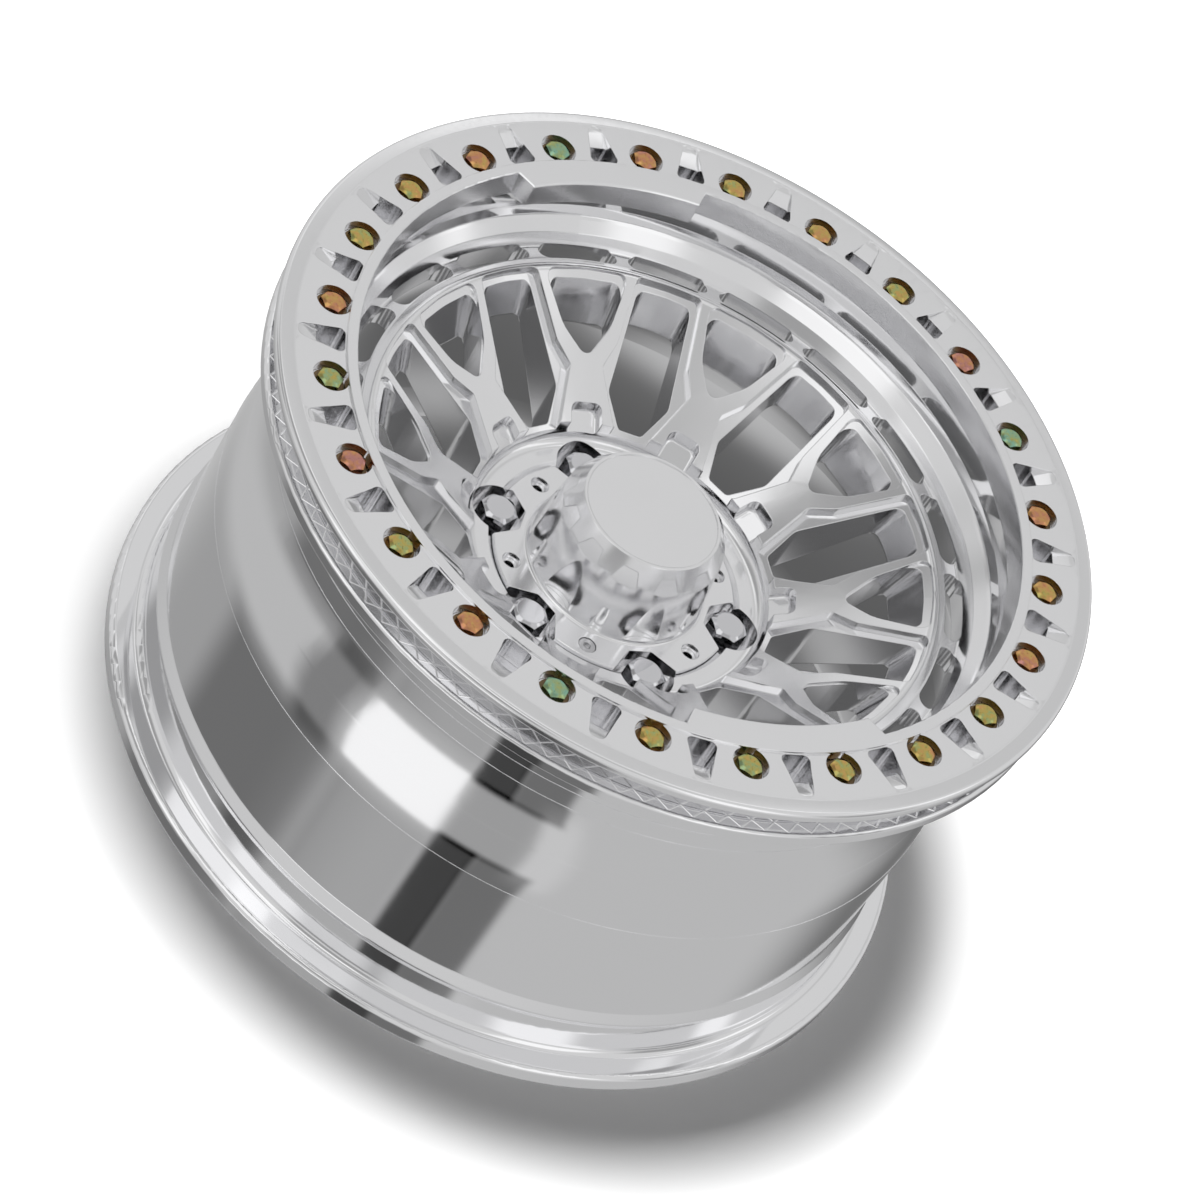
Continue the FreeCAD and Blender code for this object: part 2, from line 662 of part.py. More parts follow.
def make_washer():
    """Flat washer under a ring bolt, standing on the axis."""
    disc = drill(WASHER_R, WASHER_Z, BOLT_HEAD_Z)
    bore = drill(BOLT_SHANK_R + WASHER_CLEARANCE, WASHER_Z - OVERCUT, BOLT_HEAD_Z + OVERCUT)
    return disc.cut(bore)


def facet_cut():
    """Trapezoid recess in the sloped band round the cap's top."""
    slope = math.atan2(CAP_BAND_HEIGHT, CAP_BAND_R - CAP_TOP_R)
    face = rounded_face(mirrored([
        (FACET_TOP_DROP, FACET_HALF_TOP, EDGE_BREAK),
        (FACET_TOP_DROP + FACET_LENGTH, FACET_HALF_FOOT, 0),
    ]), plan)
    block = face.extrude(UP * (FACET_DEPTH + TOOL_REACH))
    block.translate(UP * -FACET_DEPTH)
    block.rotate(ORIGIN, FreeCAD.Vector(0, 1, 0), math.degrees(slope))
    block.translate(FreeCAD.Vector(CAP_TOP_R, 0, CAP_TOP_Z))
    return block


def cap_blank():
    """The cap as turned, hollow from below."""
    band_z = CAP_TOP_Z - CAP_BAND_HEIGHT
    lip_r = CAP_TOP_R - CAP_TOP_LIP
    return turned([
        (0, CAP_TOP_Z - CAP_TOP_SINK, 0),
        (lip_r, CAP_TOP_Z - CAP_TOP_SINK, 0),
        (lip_r, CAP_TOP_Z, 0),
        (CAP_TOP_R, CAP_TOP_Z, EDGE_BREAK / 2),
        (CAP_BAND_R, band_z, CAP_BAND_CURVE),
        (CAP_FOOT_R, HUB_FACE_Z, CAP_FOOT_FILLET),
        (CAP_FLANGE_R, HUB_FACE_Z, EDGE_BREAK),
        (CAP_FLANGE_R, CAP_SEAT_Z, 0),
        (CAP_HOLLOW_R, CAP_SEAT_Z, 0),
        (CAP_BAND_R - CAP_WALL, band_z, CAP_HOLLOW_CURVE),
        (CAP_TOP_R - CAP_WALL, CAP_TOP_Z - CAP_TOP_SINK - CAP_WALL, CAP_HOLLOW_CURVE),
        (0, CAP_TOP_Z - CAP_TOP_SINK - CAP_WALL, 0),
    ])


def make_cap():
    """Hub cap with a notched, screwed down flange, flutes and facets."""
    notch = prism(mirrored([
        (CAP_NOTCH_INNER_R, CAP_NOTCH_INNER_HALF, CAP_NOTCH_CORNER),
        (CAP_FLANGE_R + OVERCUT, CAP_NOTCH_OUTER_HALF, 0),
    ]), CAP_SEAT_Z - OVERCUT, HUB_FACE_Z + OVERCUT)
    flute = drill(CAP_FLUTE_R, HUB_FACE_Z + CAP_FLUTE_LIFT, CAP_TOP_Z, LUG_CIRCLE_R)
    hole_r = CAP_SCREW_R + CAP_SCREW_CLEARANCE
    pocket_z = HUB_FACE_Z - CAP_SCREW_SINK
    bore = drill(hole_r, CAP_SEAT_Z - OVERCUT, HUB_FACE_Z, CAP_SCREW_CIRCLE_R)
    pocket = drill(CAP_SCREW_POCKET_R, pocket_z, HUB_FACE_Z + OVERCUT, CAP_SCREW_CIRCLE_R)
    groove_z = HUB_FACE_Z + CAP_GROOVE_LIFT
    groove = drill(CAP_GROOVE_R, groove_z, HUB_FACE_Z + CAP_GROOVE_HEIGHT, CAP_GROOVE_CIRCLE_R)
    cuts = ring_of(notch, LUGS) + ring_of(flute, LUGS) + ring_of(facet_cut(), FACETS)
    for tool in (bore, pocket, groove):
        cuts += ring_of(tool, CAP_SCREW_HOLES, CAP_SCREW_FIRST_ANGLE)
    return cap_blank().cut(cuts)


def make_cap_screw():
    """Socket head screw of the cap, standing on the axis."""
    seat_z = HUB_FACE_Z - CAP_SCREW_SINK
    top_z = seat_z + CAP_SCREW_HEAD_HEIGHT
    head = drill(CAP_SCREW_HEAD_R, seat_z, top_z)
    shank = drill(CAP_SCREW_R, seat_z - CAP_SCREW_LENGTH, seat_z + OVERCUT)
    key = hexagon(CAP_SCREW_KEY_FLATS, top_z - CAP_SCREW_KEY_DEPTH, top_z + OVERCUT)
    return head.fuse(shank).removeSplitter().cut(key)


def make_lug_nut():
    """Closed conical lug nut, standing on the axis."""
    cone_height = (LUG_SEAT_R - LUG_HOLE_R) / math.tan(math.radians(LUG_SEAT_HALF_ANGLE))
    foot_z = LUG_SEAT_Z - cone_height + EDGE_BREAK
    top_r = LUG_SEAT_R - LUG_SEAT_CLEARANCE
    foot_r = top_r - (LUG_SEAT_Z - foot_z) * math.tan(math.radians(LUG_SEAT_HALF_ANGLE))
    cone = Part.makeCone(foot_r, top_r, LUG_SEAT_Z - foot_z, FreeCAD.Vector(0, 0, foot_z), UP)
    body = crowned_hexagon(NUT_FLATS, LUG_SEAT_Z, LUG_SEAT_Z + NUT_HEIGHT, NUT_CHAMFER)
    bore = drill(NUT_BORE_R, foot_z - OVERCUT, foot_z + NUT_BORE_DEPTH)
    return cone.fuse(body).removeSplitter().cut(bore)


def moved_out(shape, circle_r, angle):
    """A copy of an axis piece set on a circle at an angle."""
    copy = shape.copy()
    copy.translate(FreeCAD.Vector(circle_r, 0, 0))
    return spun(copy, angle)


def export(name, shape):
    """Write one node as a STEP file."""
    shape.exportStep(os.path.join("parts", name + ".step"))


def main():
    os.makedirs("parts", exist_ok=True)
    export("wheel", make_wheel())
    export("bead_ring", make_bead_ring())
    export("hub_cap", make_cap())
    bolt = make_bolt()
    washer = make_washer()
    washers = []
    for i in range(BOLTS):
        angle = BOLT_FIRST_ANGLE + 360 / BOLTS * i
        export("ring_bolt_%02d" % (i + 1), moved_out(bolt, BOLT_CIRCLE_R, angle))
        washers.append(moved_out(washer, BOLT_CIRCLE_R, angle))
    export("ring_washers", Part.makeCompound(washers))
    nut = make_lug_nut()
    for i in range(LUGS):
        export("lug_nut_%d" % (i + 1), moved_out(nut, LUG_CIRCLE_R, 360 / LUGS * i))
    screw = make_cap_screw()
    for number, seat in enumerate(CAP_SCREW_SEATS):
        angle = CAP_SCREW_FIRST_ANGLE + 360 / CAP_SCREW_HOLES * seat
        export("cap_screw_%d" % (number + 1), moved_out(screw, CAP_SCREW_CIRCLE_R, angle))


main()
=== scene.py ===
import math

import bpy
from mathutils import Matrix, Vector


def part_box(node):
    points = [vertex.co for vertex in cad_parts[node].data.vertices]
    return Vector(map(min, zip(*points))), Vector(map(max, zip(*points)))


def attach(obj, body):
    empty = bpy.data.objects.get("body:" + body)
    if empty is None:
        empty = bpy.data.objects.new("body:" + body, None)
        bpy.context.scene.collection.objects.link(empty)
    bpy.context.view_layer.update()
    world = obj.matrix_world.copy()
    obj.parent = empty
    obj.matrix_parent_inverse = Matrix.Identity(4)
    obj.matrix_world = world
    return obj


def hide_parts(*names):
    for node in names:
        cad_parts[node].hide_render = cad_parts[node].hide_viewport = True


# The forged wheel in a white studio: finishes, fine machined forms, floor, light and camera.
# Metres; the wheel lies on its rear flange, its axis is Z and its face looks up.

AXIS = Vector((0, 0, 1))

# Camera, from the circles and the bolt pattern in the photo
CAMERA_PLACE = (-1.5955, 1.3445, 2.1029)
CAMERA_TURN_DEG = (41.107, -24.040, -105.182)
CAMERA_CLIP = (0.1, 100.0)
SENSOR_WIDTH_MM = 36.0
LENS_MM = 159.57

# Metals: colour, roughness, and how far the lathe's marks stretch a highlight
FORGED_COLOR = (0.91, 0.91, 0.92)
SATIN_ROUGHNESS = 0.16
POLISHED_ROUGHNESS = 0.07
BRUSHED = 0.35
CHROME = ((0.72, 0.72, 0.74), 0.06)
SCREW_STEEL = ((0.62, 0.62, 0.63), 0.16)
# The washers' zinc is darkened into a painted shade of the counterbores round the bolts
ZINC_WASHER_PAINTED_SHADE = ((0.20, 0.14, 0.08), 0.30)

# Softened edges, and the clouds that vary a metal's roughness
EDGE_R = 0.0007
EDGE_SAMPLES = 6
CLOUD_ROUGHNESS = 0.6
GRAIN_SCALE = 260.0
GRAIN_DETAIL = 4.0
SATIN_SCALE = 22.0
SATIN_DETAIL = 3.0
SATIN_VARIATION = 0.08

# Polished stretches of the forging: radii, then heights
BARREL_POLISH = ((0.2000, 1.0), (0.0, 0.2335))
LIP_POLISH = ((0.1830, 0.1940), (0.2160, 0.2420))

# Zinc colours from pink through gold to teal, each with its place on the scale
ZINC_COLORS = [
    (0.00, (0.58, 0.27, 0.24)),
    (0.22, (0.68, 0.32, 0.16)),
    (0.42, (0.68, 0.42, 0.15)),
    (0.58, (0.58, 0.47, 0.14)),
    (0.74, (0.42, 0.50, 0.22)),
    (1.00, (0.30, 0.54, 0.40)),
]
ZINC_ROUGHNESS = 0.17
ZINC_SCALE = 190.0
ZINC_DETAIL = 2.0
ZINC_SPREAD = 1.1

# Main colour of each bolt on that scale, from the first bolt round the ring
BOLT_SHADES = {
    "teal": 0.90, "green": 0.72, "olive": 0.60, "gold": 0.48, "orange": 0.28, "pink": 0.14,
}
BOLT_TINTS = [
    "teal", "orange", "gold", "olive", "orange", "green", "pink", "olive",
    "orange", "teal", "gold", "green", "olive", "gold", "olive", "orange",
    "gold", "orange", "teal", "pink", "olive", "gold", "olive", "orange",
]

# Grade marks on the bolt heads
BOLT_CIRCLE_R = 0.2065
BOLT_FIRST_DEG = 7.5
MARKS = 6
MARK_INNER_R = 0.0024
MARK_OUTER_R = 0.0043
MARK_WIDTH = 0.0006
MARK_HEIGHT = 0.0003

# Knurl on the front flange
KNURL_RIDGES = 108
KNURL_FIRST_DEG = 99.4
KNURL_INNER_R = 0.2197
KNURL_OUTER_R = 0.2308
KNURL_WIDTH = 0.0010
KNURL_HEIGHT = 0.0005
FLANGE_FACE_BELOW_BOLTS = 0.0215

# Fine lathe lines on the barrel: radius and height of each
BARREL_LINES = [(0.21645, 0.1160), (0.20935, 0.1850), (0.20935, 0.1968)]
LINE_STEPS = 360
LINE_WIDTH = 0.0007
LINE_PROUD = 0.00025

# Milled pockets round the bead ring, each deepest where it meets its window
POCKETS = 24
POCKET_INNER_R = 0.2110
POCKET_INNER_HALF = 0.00645
POCKET_INNER_DEPTH = 0.0033
POCKET_OUTER_R = 0.22375
POCKET_OUTER_HALF = 0.0041
POCKET_OUTER_DEPTH = 0.0004
POCKET_CORNER = 0.0034
CORNER_STEPS = 6

# Fine groove round the ring's face
GROOVE_INNER_R = 0.22540
GROOVE_MIDDLE_R = 0.22580
GROOVE_OUTER_R = 0.22620
GROOVE_DEPTH = 0.00018

# The ring's tabs stand above its face, and the cutters end higher than both
TABS_ABOVE_FACE = 0.0015
CUTTER_ABOVE = 0.0035
WELD_DISTANCE = 0.00001

# Bevel and roundings of the ring's outer edge, heights from its face: where the bevel begins,
# then middle radius, middle height, size, first and last angle of each rounding
BEVEL_START = (0.22620, -0.00003)
EDGE_ROUNDINGS = [
    (0.2322, -0.0039, 0.0030, 82.0, 0.0),
    (0.2338, -0.0056, 0.0014, 0.0, -90.0),
]
EDGE_ARC_STEPS = 9
EDGE_LIFT = 0.00003
TURNED_STEPS = 540
SHARP_DEG = 30.0

# Floor: its own look, where it clears to white, and the painted glow and painted shade by radius
# that mirrors see under the wheel
FLOOR_SIZE = 30.0
FLOOR_COLOR = (0.95, 0.95, 0.95)
FLOOR_ROUGHNESS = 0.9
FLOOR_LIFT = 0.03
FLOOR_WHITE_FROM_R = 0.27
FLOOR_WHITE_R = 0.40
FLOOR_CLEAR_R = 0.2340
FLOOR_UNDER_PAINTED_GLOW = [(0.0, 0.55), (0.08, 0.50), (0.12, 0.14), (0.17, 0.12), (0.21, 0.45), (0.24, 0.45)]

# Key light that throws the shadow
KEY_PLACE = (0.32, 0.08, 3.0)
KEY_SIZE = 0.48
KEY_POWER = 84.0

# Room: its even light, then its grey and brightness in mirrors, below and above the horizon
ROOM_FILL = 0.08
ROOM_GREY = 0.8
ROOM_BLEND = (-0.45, 0.05)
ROOM_LOW = 0.64
ROOM_HIGH = 0.84

# Soft panels: middle, half width and softness of the longitude and of the elevation, then gain
PANELS = [
    ((76.0, 28.0, 8.0), (-49.0, 9.0, 5.0), -0.24),
    ((52.0, 54.0, 24.0), (-49.0, 9.0, 6.0), -0.20),
    ((94.0, 9.0, 5.0), (-29.0, 13.0, 4.0), -0.36),
    ((123.0, 16.5, 1.6), (-28.0, 9.5, 1.6), 0.60),
    ((123.0, 16.5, 3.0), (-49.0, 9.0, 4.0), -0.16),
    ((146.2, 6.2, 1.4), (-50.0, 14.0, 2.0), -0.57),
    ((160.5, 8.1, 1.8), (-50.0, 14.0, 2.0), -0.44),
    ((152.0, 11.0, 2.0), (-28.0, 9.5, 2.0), -0.20),
    ((168.0, 6.0, 4.0), (-30.0, 11.0, 3.0), 0.10),
    ((-66.0, 24.0, 22.0), (-40.0, 24.0, 18.0), -0.42),
    ((84.0, 26.4, 1.2), (66.0, 14.0, 1.2), 0.42),
    ((33.0, 23.0, 8.0), (52.0, 17.0, 8.0), -0.40),
    ((165.0, 48.0, 6.0), (70.0, 10.0, 5.0), -0.22),
    ((0.0, 180.0, 3.0), (90.0, 7.0, 3.0), 0.28),
    ((2.0, 14.0, 4.0), (58.0, 8.0, 4.0), 0.34),
    ((-10.0, 14.0, 4.0), (28.0, 7.0, 4.0), 0.26),
    ((-40.0, 34.0, 4.0), (46.5, 21.0, 4.0), -0.12),
    ((-40.0, 13.0, 3.0), (46.5, 9.0, 3.0), 0.12),
    ((-33.5, 10.5, 1.0), (27.0, 4.0, 2.0), 0.40),
    ((-72.0, 8.0, 3.0), (64.0, 9.0, 3.0), 0.50),
    ((-108.0, 6.0, 3.0), (35.0, 16.0, 3.0), 0.45),
    ((-40.0, 16.0, 4.0), (13.0, 6.0, 3.0), -0.45),
    ((42.0, 10.0, 4.0), (14.0, 12.0, 4.0), -0.40),
    ((85.0, 8.0, 3.0), (18.0, 20.0, 4.0), 0.45),
    ((135.0, 14.0, 4.0), (25.0, 18.0, 4.0), -0.40),
    ((-165.0, 12.0, 4.0), (30.0, 20.0, 4.0), 0.45),
    ((-135.0, 10.0, 4.0), (12.0, 14.0, 4.0), -0.40),
    ((120.0, 25.0, 4.0), (47.0, 8.0, 3.0), 0.45),
]


# Shader nodes

def set_inputs(node, values):
    """Sets a shader node's sockets from names and constants."""
    for name, value in values.items():
        node.inputs[name].default_value = value


def math_node(tree, operation, *values):
    """A math node fed by numbers or other nodes' outputs."""
    node = tree.nodes.new("ShaderNodeMath")
    node.operation = operation
    for socket, value in zip(node.inputs, values):
        if isinstance(value, (int, float)):
            socket.default_value = value
        else:
            tree.links.new(value, socket)
    return node.outputs[0]


def smooth_step(tree, value, start, end, first, last):
    """A value that goes softly from first to last while its input goes from start to end."""
    step = tree.nodes.new("ShaderNodeMapRange")
    step.interpolation_type = "SMOOTHSTEP"
    set_inputs(step, {"From Min": start, "From Max": end, "To Min": first, "To Max": last})
    tree.links.new(value, step.inputs["Value"])
    return step.outputs["Result"]


def xyz(tree, place):
    """The three parts of a position."""
    parts = tree.nodes.new("ShaderNodeSeparateXYZ")
    tree.links.new(place, parts.inputs["Vector"])
    return parts.outputs


def radius(tree, place):
    """Distance from the wheel's axis."""
    parts = xyz(tree, place)
    squares = (math_node(tree, "MULTIPLY", parts[axis], parts[axis]) for axis in "XY")
    return math_node(tree, "SQRT", math_node(tree, "ADD", *squares))


def object_place(tree):
    """A point's position on the wheel."""
    return tree.nodes.new("ShaderNodeTexCoord").outputs["Object"]


def cloud(tree, place, scale, detail):
    """A cloudy pattern that goes about as far below zero as above it."""
    node = tree.nodes.new("ShaderNodeTexNoise")
    set_inputs(node, {"Scale": scale, "Detail": detail, "Roughness": CLOUD_ROUGHNESS})
    tree.links.new(place, node.inputs["Vector"])
    return math_node(tree, "SUBTRACT", node.outputs["Fac"], 0.5)


def between(tree, value, limits):
    """One between two limits and zero outside."""
    above = math_node(tree, "GREATER_THAN", value, limits[0])
    return math_node(tree, "MULTIPLY", above, math_node(tree, "LESS_THAN", value, limits[1]))


# Finishes

def bare_metal(name, color, brushed=0.0, edge=EDGE_R):
    """A metal with softened edges; brushed metal is turned round the wheel's axis."""
    material = bpy.data.materials.new(name)
    material.use_nodes = True
    tree = material.node_tree
    shader = tree.nodes["Principled BSDF"]
    set_inputs(shader, {
        "Base Color": (*color, 1.0),
        "Metallic": 1.0,
        "Anisotropic": brushed,
    })
    if brushed:
        tangent = tree.nodes.new("ShaderNodeTangent")
        tangent.direction_type, tangent.axis = "RADIAL", "Z"
        tree.links.new(tangent.outputs["Tangent"], shader.inputs["Tangent"])
    if edge:
        round_off = tree.nodes.new("ShaderNodeBevel")
        round_off.samples = EDGE_SAMPLES
        set_inputs(round_off, {"Radius": edge})
        tree.links.new(round_off.outputs["Normal"], shader.inputs["Normal"])
    return material


def metal(name, color, roughness, brushed=0.0, edge=EDGE_R):
    """A metal with a fine grain in its roughness."""
    material = bare_metal(name, color, brushed, edge)
    tree = material.node_tree
    grain = cloud(tree, object_place(tree), GRAIN_SCALE, GRAIN_DETAIL)
    rough = math_node(tree, "ADD", math_node(tree, "MULTIPLY", grain, roughness), roughness)
    tree.links.new(rough, tree.nodes["Principled BSDF"].inputs["Roughness"])
    return material


def forged_finish():
    """Machined aluminium: satin with fine variation, and polished on the barrel and the lip."""
    material = bare_metal("forged_aluminium", FORGED_COLOR, BRUSHED)
    tree = material.node_tree
    place = object_place(tree)
    away, height = radius(tree, place), xyz(tree, place)["Z"]
    barrel, lip = (
        math_node(tree, "MULTIPLY", between(tree, away, radii), between(tree, height, heights))
        for radii, heights in (BARREL_POLISH, LIP_POLISH)
    )
    polished = math_node(tree, "MAXIMUM", barrel, lip)
    drop = math_node(tree, "MULTIPLY", polished, POLISHED_ROUGHNESS - SATIN_ROUGHNESS)
    patches = cloud(tree, place, SATIN_SCALE, SATIN_DETAIL)
    vary = math_node(tree, "MULTIPLY", patches, SATIN_VARIATION)
    rough = math_node(tree, "ADD", math_node(tree, "ADD", drop, SATIN_ROUGHNESS), vary)
    tree.links.new(rough, tree.nodes["Principled BSDF"].inputs["Roughness"])
    return material


def zinc_finish(name, shade):
    """Yellow zinc whose tarnish colours drift over each head."""
    material = metal(name, ZINC_COLORS[0][1], ZINC_ROUGHNESS)
    tree = material.node_tree
    patches = cloud(tree, object_place(tree), ZINC_SCALE, ZINC_DETAIL)
    drift = math_node(tree, "MULTIPLY", patches, ZINC_SPREAD)
    ramp = tree.nodes.new("ShaderNodeValToRGB")
    stops = ramp.color_ramp.elements
    for place_on_scale, color in ZINC_COLORS[1:-1]:
        stops.new(place_on_scale).color = (*color, 1.0)
    stops[0].color = (*ZINC_COLORS[0][1], 1.0)
    stops[-1].color = (*ZINC_COLORS[-1][1], 1.0)
    tree.links.new(math_node(tree, "ADD", drift, shade), ramp.inputs["Fac"])
    tree.links.new(ramp.outputs["Color"], tree.nodes["Principled BSDF"].inputs["Base Color"])
    return material


def dress(obj, material):
    """Gives a piece one material."""
    obj.data.materials.clear()
    obj.data.materials.append(material)


def dress_frame(frame, forged):
    """Finishes of the pieces that come from the CAD model."""
    chrome = metal("chrome", *CHROME)
    screw = metal("screw_steel", *SCREW_STEEL)
    # the washers' darkened zinc is painted shade of their counterbores
    washer = metal("zinc_washer_painted_shade", *ZINC_WASHER_PAINTED_SHADE)
    tints = {name: zinc_finish("zinc_" + name, shade) for name, shade in BOLT_SHADES.items()}
    for name, obj in frame["nodes"].items():
        if name.startswith("ring_bolt_"):
            number = int(name.rsplit("_", 1)[1]) - 1
            tint = tints[BOLT_TINTS[number]]
            dress(obj, tint)
            bolt_marks(number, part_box(name)[1].z, tint)
        elif name.startswith("lug_nut"):
            dress(obj, chrome)
        elif name.startswith("cap_screw"):
            dress(obj, screw)
        elif name == "ring_washers":
            dress(obj, washer)
        else:
            dress(obj, forged)


# Fine forms

def polar(away, angle, height):
    """A point from its radius, angle and height."""
    return Vector((away * math.cos(angle), away * math.sin(angle), height))


def mesh_piece(name, vertices, faces, material):
    """A new mesh piece of the object that rides with the wheel."""
    mesh = bpy.data.meshes.new(name)
    mesh.from_pydata(vertices, [], faces)
    mesh.update()
    mesh.materials.append(material)
    obj = bpy.data.objects.new(name, mesh)
    bpy.context.scene.collection.objects.link(obj)
    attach(obj, "root")
    return obj


def ridge(start, end, width, height, vertices, faces):
    """Adds one bar with a sharp crest between two points on a level face."""
    along = (end - start).normalized()
    side = AXIS.cross(along) * (width / 2)
    crest = AXIS * height
    first = len(vertices)
    for point in (start, end):
        vertices += [point - side, point + side, point + crest]
    a, b, c, d, e, f = range(first, first + 6)
    faces += [(a, d, f, c), (e, b, c, f), (a, c, b), (d, e, f)]


def turned(profile, steps, vertices, faces, closed=False):
    """Adds a profile of radius and height turned round the wheel's axis."""
    first, count = len(vertices), len(profile)
    for i in range(steps):
        angle = 2 * math.pi / steps * i
        vertices += [polar(away, angle, height) for away, height in profile]
    for i in range(steps):
        here, there = first + count * i, first + count * ((i + 1) % steps)
        for k in range(count if closed else count - 1):
            after = (k + 1) % count
            faces.append((here + k, there + k, there + after, here + after))


def smooth_but_sharp(obj):
    """Smooth shading that keeps the sharp edges."""
    for polygon in obj.data.polygons:
        polygon.use_smooth = True
    split = obj.modifiers.new("split", "EDGE_SPLIT")
    split.split_angle = math.radians(SHARP_DEG)


def bolt_marks(number, height, material):
    """Six raised strokes on one bolt head."""
    turn = math.radians(BOLT_FIRST_DEG + 360 / len(BOLT_TINTS) * number)
    middle = polar(BOLT_CIRCLE_R, turn, height)
    vertices, faces = [], []
    for i in range(MARKS):
        angle = turn + 2 * math.pi / MARKS * i
        start = middle + polar(MARK_INNER_R, angle, 0)
        end = middle + polar(MARK_OUTER_R, angle, 0)
        ridge(start, end, MARK_WIDTH, MARK_HEIGHT, vertices, faces)
    piece = mesh_piece("bolt_marks_%02d" % (number + 1), vertices, faces, material)


def knurl(height, material):
    """Crossed ridges round the front flange's clamping face."""
    vertices, faces = [], []
    step = 2 * math.pi / KNURL_RIDGES
    for i in range(KNURL_RIDGES):
        angle = math.radians(KNURL_FIRST_DEG) + step * i
        for lean in (-step, step):
            start = polar(KNURL_INNER_R, angle, height)
            end = polar(KNURL_OUTER_R, angle + lean, height)
            ridge(start, end, KNURL_WIDTH, KNURL_HEIGHT, vertices, faces)
    piece = mesh_piece("flange_knurl", vertices, faces, material)


def barrel_lines(material):
    """Fine lines that the lathe left where the barrel's flare begins and ends."""
    vertices, faces = [], []
    for away, height in BARREL_LINES:
        profile = [
            (away, height + LINE_WIDTH / 2),
            (away, height - LINE_WIDTH / 2),
            (away + LINE_PROUD, height),
        ]
        turned(profile, LINE_STEPS, vertices, faces, closed=True)
    piece = mesh_piece("barrel_lines", vertices, faces, material)


def pocket_outline():
    """Corners of one pocket as distances along and across its radius, the outer ones rounded."""
    corners = [
        Vector((POCKET_INNER_R, -POCKET_INNER_HALF)),
        Vector((POCKET_OUTER_R, -POCKET_OUTER_HALF)),
        Vector((POCKET_OUTER_R, POCKET_OUTER_HALF)),
        Vector((POCKET_INNER_R, POCKET_INNER_HALF)),
    ]
    points = [corners[0]]
    for before, corner, after in zip(corners, corners[1:], corners[2:]):
        start = corner + (before - corner).normalized() * POCKET_CORNER
        end = corner + (after - corner).normalized() * POCKET_CORNER
        for i in range(CORNER_STEPS + 1):
            t = i / CORNER_STEPS
            points.append(start * (1 - t) ** 2 + corner * (2 * t * (1 - t)) + end * t ** 2)
    return points + [corners[3]]


def pocket_cutter(turn, face, vertices, faces):
    """Adds the cut of one pocket, its floor sloping up towards its outer end."""
    outline = pocket_outline()
    count, first = len(outline), len(vertices)
    slope = (POCKET_OUTER_DEPTH - POCKET_INNER_DEPTH) / (POCKET_OUTER_R - POCKET_INNER_R)
    along, across = polar(1, turn, 0), polar(1, turn + math.pi / 2, 0)
    for point in outline:
        depth = POCKET_INNER_DEPTH + slope * (point.x - POCKET_INNER_R)
        vertices.append(along * point.x + across * point.y + AXIS * (face - depth))
    for point in outline:
        vertices.append(along * point.x + across * point.y + AXIS * (face + CUTTER_ABOVE))
    low = [first + k for k in range(count)]
    high = [first + count + k for k in range(count)]
    faces += [tuple(reversed(low)), tuple(high)]
    for k in range(count):
        after = (k + 1) % count
        faces.append((low[k], low[after], high[after], high[k]))


def ring_cutters(face):
    """All cuts in the bead ring's face as one object: the pockets and the groove."""
    vertices, faces = [], []
    for i in range(POCKETS):
        pocket_cutter(2 * math.pi / POCKETS * i, face, vertices, faces)
    groove = [
        (GROOVE_INNER_R, face),
        (GROOVE_MIDDLE_R, face - GROOVE_DEPTH),
        (GROOVE_OUTER_R, face),
        (GROOVE_OUTER_R, face + CUTTER_ABOVE),
        (GROOVE_INNER_R, face + CUTTER_ABOVE),
    ]
    turned(groove, TURNED_STEPS, vertices, faces, closed=True)
    mesh = bpy.data.meshes.new("ring_cutters")
    mesh.from_pydata(vertices, [], faces)
    cutters = bpy.data.objects.new("ring_cutters", mesh)
    bpy.context.scene.collection.objects.link(cutters)
    return cutters


def milled_ring(frame, face, material):
    """The bead ring with deeper, rounder pockets and a fine groove in its face."""
    mesh = frame["nodes"]["bead_ring"].data.copy()
    mesh.name = "milled_ring"
    if "custom_normal" in mesh.attributes:
        mesh.attributes.remove(mesh.attributes["custom_normal"])
    ring = bpy.data.objects.new("milled_ring", mesh)
    bpy.context.scene.collection.objects.link(ring)
    cutters = ring_cutters(face)
    weld = ring.modifiers.new("weld", "WELD")
    weld.merge_threshold = WELD_DISTANCE
    cut = ring.modifiers.new("cut", "BOOLEAN")
    cut.operation, cut.solver, cut.object = "DIFFERENCE", "EXACT", cutters
    graph = bpy.context.evaluated_depsgraph_get()
    milled = bpy.data.meshes.new_from_object(ring.evaluated_get(graph))
    ring.modifiers.clear()
    ring.data = milled
    bpy.data.objects.remove(cutters)
    smooth_but_sharp(ring)
    ring.modifiers.new("weigh", "WEIGHTED_NORMAL")
    dress(ring, material)
    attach(ring, "root")
    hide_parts("bead_ring")


def ring_edge(face, material):
    """The ring's bevelled and rounded outer edge, just over the frame's coarser facets."""
    start_r, start_z = BEVEL_START
    profile = [(start_r, face + start_z + EDGE_LIFT)]
    for middle_r, middle_z, size, start, end in EDGE_ROUNDINGS:
        reach = size + EDGE_LIFT
        for i in range(EDGE_ARC_STEPS + 1):
            angle = math.radians(start + (end - start) * i / EDGE_ARC_STEPS)
            away = middle_r + reach * math.cos(angle)
            profile.append((away, face + middle_z + reach * math.sin(angle)))
    vertices, faces = [], []
    turned(profile[::-1], TURNED_STEPS, vertices, faces)
    piece = mesh_piece("ring_edge", vertices, faces, material)
    smooth_but_sharp(piece)


# Studio

